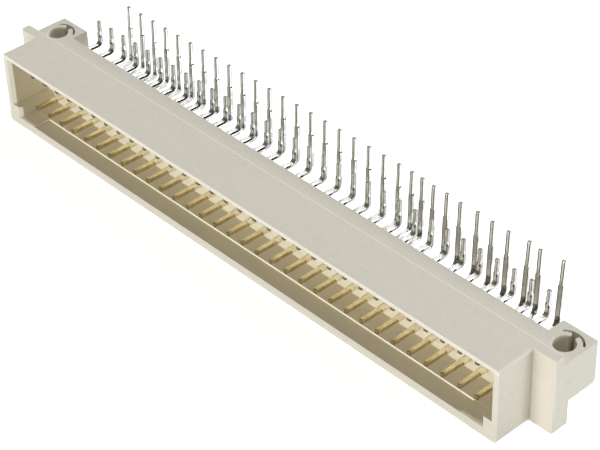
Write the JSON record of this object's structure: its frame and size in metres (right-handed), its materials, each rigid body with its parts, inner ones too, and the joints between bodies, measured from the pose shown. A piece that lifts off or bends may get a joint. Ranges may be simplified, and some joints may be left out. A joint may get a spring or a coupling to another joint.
{
  "type": "board connector",
  "caption": "Long pale board-edge connector with an open mating shroud, blade pins inside, right-angle solder tails behind and a bored mounting block at each end.",
  "frame": {"origin": "on the board seat, midway between the two mounting bores", "axes": "+X along the row of contacts, -Y out of the mating mouth, +Z out of the board seat towards the board"},
  "size_m": [0.0936, 0.0183, 0.0116],
  "materials": {
    "housing": "matte",
    "contact": "plated"
  },
  "bodies": {
    "root": {"housing": "housing", "long_contact_01": "contact", "long_contact_02": "contact", "long_contact_03": "contact", "long_contact_04": "contact", "long_contact_05": "contact", "long_contact_06": "contact", "long_contact_07": "contact", "long_contact_08": "contact", "long_contact_09": "contact", "long_contact_10": "contact", "long_contact_11": "contact", "long_contact_12": "contact", "long_contact_13": "contact", "long_contact_14": "contact", "long_contact_15": "contact", "long_contact_16": "contact", "long_contact_17": "contact", "long_contact_18": "contact", "long_contact_19": "contact", "long_contact_20": "contact", "long_contact_21": "contact", "long_contact_22": "contact", "long_contact_23": "contact", "long_contact_24": "contact", "long_contact_25": "contact", "long_contact_26": "contact", "long_contact_27": "contact", "long_contact_28": "contact", "long_contact_29": "contact", "long_contact_30": "contact", "long_contact_31": "contact", "long_contact_32": "contact", "short_contacts_01_02": "contact", "short_contacts_03_04": "contact", "short_contacts_05_06": "contact", "short_contacts_07_08": "contact", "short_contacts_09_10": "contact", "short_contacts_11_12": "contact", "short_contacts_13_14": "contact", "short_contacts_15_16": "contact", "short_contacts_17_18": "contact", "short_contacts_19_20": "contact", "short_contacts_21_22": "contact", "short_contacts_23_24": "contact", "short_contacts_25_26": "contact", "short_contacts_27_28": "contact", "short_contacts_29_30": "contact", "short_contacts_31_32": "contact"}
  },
  "joints": []
}
